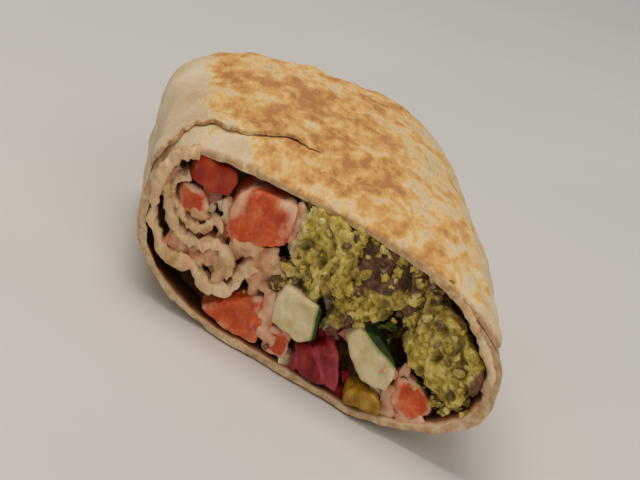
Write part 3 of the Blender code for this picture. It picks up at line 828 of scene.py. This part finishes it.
def cucumber_piece(node, seed, smear, skin_from, skin_to, skin_depth):
    """A cucumber dice whose skin lies along the line from one spot on the cut to another."""
    a, b = np.array(skin_from), np.array(skin_to)
    along = (b - a) / np.linalg.norm(b - a)

    def from_skin(p):
        u, v, _ = cut_coordinates(p)
        return np.abs((u - a[0]) * along[1] - (v - a[1]) * along[0]) + 0.25 * grain(p, 0.003, seed)

    food_piece(
        node, CUCUMBER, COARSE_VOXEL,
        lambda p: uneven(p, seed, (0.0006, 0.006), (0.0003, 0.0024), (0.0001, 0.0009)),
        lambda p: {"skin": smooth(skin_depth + 1.0, skin_depth * 0.2, from_skin(p)),
                   "smear": rim_smear(node, p, smear, seed) * smooth(0.8, 2.6, from_skin(p))})


def onion_piece():
    """A wedge of onion: curved layers side by side, each a little more proud or set back, and the
    last of them, at +X, paler as a painted highlight."""
    left, right = (corner[0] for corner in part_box("onion_red"))

    def layer(p):
        u, v, _ = cut_coordinates(p)
        return (u * 0.80 + v * 0.55 + 0.02 * (v - 8) ** 2 + 1.6 * grain(p, 0.009, 6)) / 5.2

    def groove(p):
        return np.minimum(layer(p) % 1.0, 1.0 - layer(p) % 1.0)

    def shape(p):
        proud = 0.0005 * np.sin(7.3 * np.floor(layer(p))) * smooth(0.0, 0.18, groove(p))
        return proud - 0.0005 * smooth(0.14, 0.0, groove(p)) + 0.0004 * grain(p, 0.005, 2)

    def paint(p):
        along = (p[:, 0] - left) / (right - left) + 0.15 * grain(p, 0.004, 3)
        # Pale seams in the grooves, and a painted highlight rising across the piece towards +X
        seam = np.maximum(smooth(0.22, 0.02, groove(p)), 0.95 * smooth(0.50, 0.92, along))
        return {"seam": seam, "smear": rim_smear("onion_red", p, 0.14, 4)}

    food_piece("onion_red", ONION, VOXEL, shape, paint)


def pepper_piece():
    """A slip of pickled pepper, soft and a little wrinkled."""
    food_piece("pepper_pickled", PEPPER, VOXEL,
               lambda p: uneven(p, 8, (0.0006, 0.004), (0.0001, 0.001)), lambda p: {})


def crumbly(p, seed):
    """Broken chickpea meal: the height of its soft lumps, torn pits and fine crumbs, how deep a
    place lies in its pits and cracks, for painted shade there, and its tone."""
    lump, knob = grain(p, 0.0058, seed), grain(p, 0.0027, seed + 1)
    crumb, bit = grain(p, 0.0014, seed + 2), grain(p, 0.0008, seed + 3)
    pit = smooth(-0.10, -0.55, grain(p, 0.0036, seed + 5))
    height = 0.0010 * lump + 0.0007 * knob + 0.00045 * crumb + 0.00026 * bit - 0.0013 * pit
    # How far down a pit or among low crumbs a place lies, used as painted shade
    crack = 0.60 * pit + 0.50 * smooth(-0.10, -0.60, knob) + 0.30 * smooth(-0.2, -0.7, crumb)
    return height, np.clip(crack, 0.0, 0.9), 0.9 * crumb + 0.7 * knob + 0.6 * bit


def falafel_piece(node, seed, crusted, creamed=lambda u, v: 0.0 * u):
    """A broken falafel: crusted and creamed give, for a spot on the cut, how much of it is fried
    crust and how much sauce lies on it."""
    def paint(p):
        u, v, _ = cut_coordinates(p)
        _, crack, tone = crumbly(p, seed)
        return {"crust": crusted(u, v) + 0.28 * grain(p, 0.0045, seed), "crack": crack * 0.8,
                "tone": tone, "smear": creamed(u, v)}

    food_piece(node, FALAFEL, FINE_VOXEL, lambda p: crumbly(p, seed)[0] + 0.0002, paint)


# ---------------------------------------------------------------- loose filling

CRUMB_ROUGHNESS = 0.95


def crumb_shape(chance):
    """One irregular crumb of about unit size round the origin: (points, faces)."""
    bm = bmesh.new()
    bmesh.ops.create_icosphere(bm, subdivisions=2, radius=1.0)
    points = np.array([v.co[:] for v in bm.verts])
    faces = [tuple(v.index for v in f.verts) for f in bm.faces]
    bm.free()
    seed = chance.randrange(1000)
    rise = grain(points, 0.9, seed) + 0.5 * grain(points, 0.4, seed)
    points *= (1.0 + CRUMB_ROUGHNESS * rise)[:, None]
    return points * [chance.uniform(0.7, 1.25) for _ in range(3)], faces


def dice_shape(chance):
    """One rough-cut dice of about unit size round the origin, its corners softened."""
    bm = bmesh.new()
    bmesh.ops.create_cube(bm, size=1.6)
    for vert in bm.verts:
        vert.co += Vector([chance.uniform(-0.3, 0.3) for _ in range(3)])
    bmesh.ops.bevel(bm, geom=bm.edges[:], offset=0.22, segments=2, profile=0.6, affect="EDGES")
    bmesh.ops.subdivide_edges(bm, edges=bm.edges[:], cuts=1, use_grid_fill=True)
    bmesh.ops.smooth_vert(
        bm, verts=bm.verts[:], factor=0.5, use_axis_x=True, use_axis_y=True, use_axis_z=True)
    points = np.array([v.co[:] for v in bm.verts])
    bm.verts.index_update()
    faces = [tuple(v.index for v in f.verts) for f in bm.faces]
    bm.free()
    points *= (1.0 + 0.12 * grain(points, 0.8, chance.randrange(1000)))[:, None]
    return points * [chance.uniform(0.7, 1.2) for _ in range(3)], faces


def leaf_shape(chance):
    """One limp scrap of leaf of about unit size: a thin bent slab with a ragged outline."""
    s, t = np.meshgrid(np.linspace(-1, 1, 7), np.linspace(-1, 1, 7))
    edge = 1.0 + 0.4 * grain(np.stack([s, t, 0 * s], -1), 0.8, chance.randrange(1000))
    bend = 0.5 * s**2 * chance.uniform(-1, 1) + 0.4 * t**2 * chance.uniform(-1, 1) + 0.2 * s * t
    upper = np.stack([s * edge, 0.6 * t * edge, bend + 0.05], -1).reshape(-1, 3)
    lower = np.stack([s * edge, 0.6 * t * edge, bend - 0.05], -1).reshape(-1, 3)
    return np.concatenate([upper, lower]), slab_faces(7, 7)


def strew(name, finish, shaper, patches, seed, values):
    """Loose bits, all one piece. Each patch is (count, u range, v range, depth range, size range),
    in millimetres; values gives, by chance, what each bit's points carry."""
    chance = random.Random(seed)
    points, faces, kept = [], [], {}
    total = 0
    for count, us, vs, depths, sizes in patches:
        for _ in range(count):
            shape, bit_faces = shaper(chance)
            angle = chance.uniform(0, TAU)
            turn = np.array(Matrix.Rotation(angle, 3, Vector([chance.gauss(0, 1) for _ in range(3)])))
            place = on_cut(*(np.array(chance.uniform(*spread)) for spread in (us, vs, depths)))
            points.append(shape @ turn.T * (chance.uniform(*sizes) / 2 * MM) + place)
            faces.extend(tuple(i + total for i in f) for f in bit_faces)
            total += len(shape)
            for key, number in values(chance).items():
                kept.setdefault(key, []).append(np.full(len(shape), number))
    carried = {key: np.concatenate(numbers) for key, numbers in kept.items()}
    make_piece(name, np.concatenate(points), faces, finish, carried)


def run_together(name, finish, spots, seed, voxel, smoothing, rough, values):
    """Soft blobs run together: spots are (u, v, depth, radius) in millimetres, and how thick the
    blob is behind the cut as a share of its width."""
    bm = bmesh.new()
    for u, v, depth, radius, flat in spots:
        made = bmesh.ops.create_icosphere(bm, subdivisions=3, radius=radius * MM)["verts"]
        round_points = np.array([vert.co[:] for vert in made])
        round_points *= (1.0 + 0.5 * grain(round_points / radius / MM + (u, v, seed), 1.1, seed))[:, None]
        pressed = INWARD * (round_points @ INWARD * (1.0 - flat))[:, None]
        place_on_cut = on_cut(np.array(u), np.array(v), np.array(depth))
        for vert, place in zip(made, round_points - pressed + place_on_cut):
            vert.co = place
    mesh = bpy.data.meshes.new(name)
    bm.to_mesh(mesh)
    bm.free()
    points, normals, faces = even_mesh(mesh, voxel, smoothing)
    rise = rough * (0.0005 * grain(points, 0.0032, seed) + 0.00022 * grain(points, 0.0012, seed))
    points = points + normals * rise[:, None]
    make_piece(name, points, faces, finish, values(points))


CORE_COLUMNS = 150
CORE_RINGS = 34
CORE_CLEARANCE = 0.0008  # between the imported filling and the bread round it
CORE_MIDDLE = np.array((0.0, 0.0200))
CORE_SETBACK = 0.0082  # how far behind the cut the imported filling's lumpy face lies
CORE_DEPTHS = (0.020, 0.033)


def filling_core():
    """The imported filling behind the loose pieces: a lumpy face set well back from the cut, on a
    body that fills the bread."""
    angles = angle_at(GIRTH * np.arange(CORE_COLUMNS) / CORE_COLUMNS)
    x, z = section(angles, 1.0, BREAD + CORE_CLEARANCE)
    share = np.linspace(1.0 / CORE_RINGS, 1.0, CORE_RINGS)[:, None, None]
    spread = CORE_MIDDLE + (np.stack([x, z], 1) - CORE_MIDDLE) * share
    flat = np.stack([spread[..., 0], 0 * spread[..., 0], spread[..., 1]], -1)
    inner, own = crumbs(flat, 0.0050, 3)
    lumps = 0.0016 * own * smooth(0, 0.4, inner) + 0.0010 * smooth(0.0, 0.5, inner)
    hollow = CORE_SETBACK + 0.0022 * grain(flat, 0.009, 1) - lumps

    def lowered(height):
        """The core's top gives way under the pressed bread."""
        return height - press(math.pi / 2, 0.008) * smooth(0.025, 0.04, height)

    front_y = cut_y(flat[..., 0]) + hollow / math.sin(CUT_ANGLE)
    front = np.stack([flat[..., 0], front_y, lowered(flat[..., 2])], -1)
    points = [np.array([front[0].mean(0)]), front.reshape(-1, 3)]
    faces = [(1 + (c + 1) % CORE_COLUMNS, 1 + c, 0) for c in range(CORE_COLUMNS)]
    faces += sheet_faces(1, CORE_RINGS, CORE_COLUMNS, True, True)
    points += [np.stack([x, cut_y(x) + depth, lowered(z)], 1) for depth in CORE_DEPTHS]
    faces += sheet_faces(1 + (CORE_RINGS - 1) * CORE_COLUMNS, 3, CORE_COLUMNS, True, True)
    last = 1 + (CORE_RINGS + 1) * CORE_COLUMNS
    points.append(np.array([points[-1].mean(0)]))
    faces += [(last + c, last + (c + 1) % CORE_COLUMNS, last + CORE_COLUMNS) for c in range(CORE_COLUMNS)]
    core = make_piece("filling_core", np.concatenate(points), faces, SALAD)
    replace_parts(core, "mixed_filling")


FLATBREAD = griddled_flatbread()
TOMATO = cut_tomato()
CUCUMBER = cut_cucumber()
ONION = cut_red_onion()
PEPPER = pickled_pepper()
FALAFEL = broken_falafel()
SAUCE = creamy_sauce()
SALAD = packed_salad()
PARSLEY = chopped_parsley()

bread_shell()
torn_lap()
bread_lap("long_lap", [
    (12.6, 37.4), (9.6, 36.4), (6.6, 33.8), (4.2, 30.6), (3.3, 27.0), (3.4, 23.0), (4.6, 18.6),
    (7.0, 14.8), (10.8, 12.4), (15.0, 11.6), (19.2, 12.4), (22.8, 10.6), (26.8, 9.6), (30.8, 10.8),
    (33.0, 13.4), (33.2, 16.6), (34.8, 19.2), (37.4, 19.6)],
    thickness=2.7, reach=0.9, depth=24.0, seed=2, count=210)
bread_lap("short_lap", [
    (4.6, 28.6), (7.6, 24.0), (10.8, 20.0), (15.2, 17.4), (19.8, 17.8), (23.2, 19.6), (27.0, 19.0),
    (29.6, 16.4), (30.8, 13.8)], thickness=2.4, reach=0.3, depth=20.0, seed=5, count=130)
bread_lap("inner_lap", [
    (11.6, 31.4), (8.4, 28.6), (8.0, 25.6), (10.2, 23.2), (13.4, 21.6), (17.2, 20.8), (20.6, 21.6),
    (22.8, 23.6), (25.2, 23.0)], thickness=2.0, reach=-0.8, depth=18.0, seed=12, count=110)
bread_lap("edge_lap", [
    (83.4, 37.4), (87.4, 35.9), (91.9, 33.4), (96.2, 30.3), (99.5, 26.9), (101.2, 23.4),
    (101.5, 19.6)], thickness=2.0, reach=0.9, depth=20.0, seed=8, count=100)

for seed, (node, smear, deep) in enumerate((
        ("tomato_top_left", 0.28, 0.75), ("tomato_small_left", 0.95, 0.0),
        ("tomato_center", 0.60, 0.0), ("tomato_low_left", 0.55, 0.0),
        ("tomato_low_mid", 1.25, 0.0), ("tomato_right", 0.7, 0.15)), start=1):
    tomato_piece(node, seed, smear, deep)
cucumber_piece("cucumber_left", 1, 0.75, (57.6, 9.0), (56.8, 21.0), 2.3)
cucumber_piece("cucumber_right", 2, 0.30, (66.0, 21.8), (80.6, 15.8), 2.1)
onion_piece()
pepper_piece()
falafel_piece("falafel_left", 1, lambda u, v: 0.30 * smooth(28.0, 23.0, v) * smooth(46, 52, u),
              lambda u, v: 0.62 * smooth(48.5, 43.5, u))
falafel_piece("falafel_mid", 2, lambda u, v: 0.62 * smooth(25.0, 28.5, v + 0.4 * (66 - u)))
falafel_piece("falafel_right", 3, lambda u, v: (
    0.55 * smooth(96.0, 99.5, u) + 0.5 * smooth(14.0, 12.4, v) + 0.2 * smooth(26, 31, v)))
falafel_piece("falafel_top_right", 4, lambda u, v: 0.5 + 0 * u)

filling_core()

# Falafel crumbs that have broken away, and bridge the falafels
strew("falafel_crumbs", FALAFEL, crumb_shape, [
    (44, (43, 56), (18, 24), (0.8, 5.5), (1.2, 3.6)), (46, (59, 66), (20, 39), (0.0, 4.0), (1.2, 3.4)),
    (46, (78, 84), (25, 38), (0.5, 5.0), (1.2, 3.4)), (26, (60, 69), (17, 25), (0.6, 5.0), (1.4, 3.8)),
    (40, (92, 99.5), (10, 24), (0.5, 4.0), (0.8, 2.4)), (24, (84, 95), (9, 15), (1.0, 4.0), (0.8, 2.2)),
    (26, (44, 62), (35, 39), (0.0, 3.0), (0.8, 2.4)), (22, (63, 86), (34, 38.5), (0.5, 3.5), (0.8, 2.6)),
    (20, (28, 60), (4, 20), (1.0, 5.0), (0.6, 1.6)), (26, (45, 61), (22, 38), (-1.0, 0.3), (0.7, 1.8)),
    (30, (63, 79), (24, 38), (0.0, 1.2), (0.7, 2.0)), (26, (82, 98), (15, 31), (-0.6, 0.8), (0.7, 1.8))],
    seed=3, values=lambda c: {
        "crust": c.choice((0.0, 0.05, 0.1, 0.5)), "crack": 0.0, "tone": c.uniform(-0.8, 0.8),
        "smear": c.choice((0, 0, 0.3))})
# Small dice in the gaps
strew("tomato_bits", TOMATO, dice_shape, [
    (5, (17, 28), (20, 30), (3.5, 6.5), (3.0, 5.0)), (2, (76.4, 79.8), (10, 13.6), (1.2, 2.4), (3.2, 4.4)),
    (3, (82, 88), (5.5, 8.5), (2.0, 4.0), (2.5, 4.0)), (3, (28, 42), (20, 25), (3.0, 5.0), (3.5, 5.5)),
    (3, (58, 66), (13, 19), (4.5, 7.0), (3.0, 5.0)), (2, (42, 47), (6, 14), (2.5, 4.5), (3.0, 4.5))],
    seed=5, values=lambda c: {"smear": c.uniform(0.2, 0.6), "deep": c.uniform(0.0, 0.6)})
strew("cucumber_bits", CUCUMBER, dice_shape, [
    (4, (9, 22), (13.5, 22), (3.0, 6.0), (3.0, 4.6)), (3, (46, 54), (2.5, 8), (2.5, 4.5), (3.4, 5.0)),
    (2, (57, 64), (14, 20), (4.5, 7.0), (3.0, 4.5)), (3, (66, 84), (4, 12), (3.0, 5.5), (3.0, 4.5)),
    (2, (20, 28), (22, 30), (4.0, 6.5), (3.0, 4.5))],
    seed=7, values=lambda c: {"smear": c.uniform(0.1, 0.5), "skin": c.choice((0.0, 0.0, 0.9))})
strew("onion_bits", ONION, dice_shape, [
    (4, (56, 66), (12, 20), (3.5, 6.0), (3.0, 4.6)), (2, (66, 69), (1.5, 8), (2.5, 4.5), (2.5, 4.0)),
    (2, (18, 27), (20, 28), (4.0, 6.5), (2.5, 4.0)), (2, (66, 72), (18, 24), (5.5, 7.5), (2.5, 4.0))],
    seed=9, values=lambda c: {"smear": c.uniform(0.0, 0.4), "seam": c.uniform(0.0, 0.5)})
strew("parsley_bits", PARSLEY, leaf_shape, [
    (8, (43, 64), (14, 24), (1.5, 5.0), (2.0, 4.5)), (8, (72, 82), (14, 27), (3.0, 6.5), (2.0, 4.5)),
    (6, (14, 30), (14, 28), (2.0, 5.5), (2.0, 4.0)), (5, (78, 92), (6, 16), (1.0, 4.0), (1.5, 3.5))],
    seed=11, values=lambda c: {})
# Creamy sauce, pinker where it has run over tomato
run_together("sauce_runs", SAUCE, [
    (12.5, 15.2, 2.4, 2.8, 0.4), (17.4, 15.6, 2.8, 2.6, 0.4), (12.0, 19.0, 3.4, 2.4, 0.5),
    (8.0, 29.5, 3.0, 2.4, 0.5), (22.4, 15.2, 3.4, 2.4, 0.4), (26.2, 14.4, 3.6, 2.4, 0.4),
    (25.2, 24.4, 2.8, 2.4, 0.4), (24.6, 28.8, 2.6, 2.2, 0.4), (42.4, 21.0, 2.2, 2.6, 0.4),
    (42.9, 17.2, 2.0, 2.4, 0.4), (43.4, 29.8, 0.6, 2.0, 0.4), (43.6, 33.2, 0.6, 1.9, 0.4),
    (43.8, 36.6, 0.8, 1.8, 0.4), (42.9, 14.2, 1.0, 2.3, 0.4), (43.6, 10.6, 0.7, 2.2, 0.4),
    (43.7, 7.0, 0.9, 2.1, 0.4), (46.6, 5.0, 1.6, 2.2, 0.4), (50.0, 8.6, 2.0, 2.0, 0.4),
    (79.6, 8.6, 1.8, 2.1, 0.4), (80.6, 5.4, 1.4, 2.2, 0.4), (85.0, 4.8, 1.2, 2.2, 0.4),
    (89.2, 6.4, 1.3, 2.2, 0.4), (82.2, 14.4, 2.0, 1.8, 0.4)],
    seed=3, voxel=FINE_VOXEL, smoothing=14, rough=0.8, values=lambda p: {
        "pink": smooth(0.1, 0.7, 0.35 + 0.8 * grain(p, 0.007, 5)
                       + 0.25 * smooth(24, 34, cut_coordinates(p)[0]))})
# Soft bread and mashed filling squeezed together between the laps and the middle
run_together("mashed_bread", FLATBREAD, [
    (29.0, 19.6, 2.0, 2.4, 0.7), (32.0, 22.6, 1.4, 2.5, 0.7), (35.6, 23.4, 0.9, 2.7, 0.6),
    (39.6, 23.0, 0.9, 2.6, 0.6), (42.0, 20.6, 1.2, 2.3, 0.6), (38.6, 20.0, 0.7, 2.6, 0.6),
    (40.6, 17.2, 0.8, 2.3, 0.6), (37.0, 17.4, 1.0, 2.0, 0.6), (34.0, 25.4, 2.0, 2.0, 0.8),
    (30.0, 15.6, 2.8, 2.2, 0.8), (38.4, 14.8, 2.4, 1.9, 0.8), (20.4, 14.8, 1.6, 2.1, 0.6),
    (24.6, 15.8, 1.8, 2.3, 0.6), (27.8, 13.0, 1.6, 2.2, 0.6), (15.8, 14.6, 2.0, 2.0, 0.6),
    (11.4, 22.4, 2.2, 2.0, 0.6), (17.4, 23.8, 2.4, 2.2, 0.6), (6.0, 25.0, 2.2, 1.7, 0.6)],
    seed=8, voxel=0.00036, smoothing=6, rough=1.9, values=lambda p: {
        "griddled": 0.1, "torn": 0.0, "inside": 0.9, "soaked": 0.42 + 0.30 * grain(p, 0.003, 9)})


# ---------------------------------------------------------------- camera, light and table

CAMERA_AZIMUTH = math.radians(-7.2)
CAMERA_ELEVATION = math.radians(16.4)
CAMERA_ROLL = math.radians(17.8)
CAMERA_DISTANCE = 0.526
LENS_MM = 120.0
SENSOR_MM = 36.0
AIM = Vector((0.0058, 0.0099, 0.0163))
TABLE_REACH = 3.0
TABLE_ROWS = 25
TABLE_DROP = 0.0002  # the table's top lies this far under the wrap


def place_camera():
    """The view: from in front of the cut and a little above, rolled, aimed at the wrap's middle."""
    a, e, r = CAMERA_AZIMUTH, CAMERA_ELEVATION, CAMERA_ROLL
    back = Vector((math.sin(a) * math.cos(e), -math.cos(a) * math.cos(e), math.sin(e)))
    right = Vector((math.cos(a), math.sin(a), 0.0))
    up = back.cross(right)
    turned_right = right * math.cos(r) + up * math.sin(r)
    turned_up = up * math.cos(r) - right * math.sin(r)
    data = bpy.data.cameras.new("camera")
    data.lens = LENS_MM
    data.sensor_width = SENSOR_MM
    data.clip_start = 0.01
    made = bpy.data.objects.new("camera", data)
    bpy.context.scene.collection.objects.link(made)
    rotation = Matrix((turned_right, turned_up, back)).transposed()
    made.matrix_world = Matrix.Translation(AIM + back * CAMERA_DISTANCE) @ rotation.to_4x4()
    bpy.context.scene.camera = made


def soft_light(name, place, size, watts, tint):
    """A square softbox aimed at the wrap."""
    data = bpy.data.lights.new(name, "AREA")
    data.shape = "SQUARE"
    data.size = size
    data.energy = watts
    data.color = colour(tint)[:3]
    made = bpy.data.objects.new(name, data)
    bpy.context.scene.collection.objects.link(made)
    made.location = place
    made.rotation_euler = (Vector((0, 0, 0.02)) - Vector(place)).to_track_quat("-Z", "Y").to_euler()


def table():
    """A level table top, much larger than the view."""
    across = np.linspace(-TABLE_REACH, TABLE_REACH, TABLE_ROWS)
    x, y = np.meshgrid(across, across)
    points = np.stack([x, y, 0 * x - TABLE_DROP], -1).reshape(-1, 3)
    mesh = bpy.data.meshes.new("table")
    mesh.from_pydata(points.tolist(), [], sheet_faces(0, TABLE_ROWS, TABLE_ROWS))
    mesh.materials.append(painted_table())
    made = bpy.data.objects.new("table", mesh)
    bpy.context.scene.collection.objects.link(made)


STUDIO_BRIGHTNESS = 0.33

place_camera()
soft_light("overhead", (-0.24, 0.15, 1.25), 0.9, 7.7, "FFF8F2")
soft_light("front_fill", (0.25, -1.3, 0.7), 1.0, 5.2, "FFF8F2")
table()
world = bpy.data.worlds.new("studio")
world.use_nodes = True
world.node_tree.nodes["Background"].inputs["Color"].default_value = colour("F4F0EE")
world.node_tree.nodes["Background"].inputs["Strength"].default_value = STUDIO_BRIGHTNESS
bpy.context.scene.world = world
bpy.context.scene.view_settings.view_transform = "Standard"
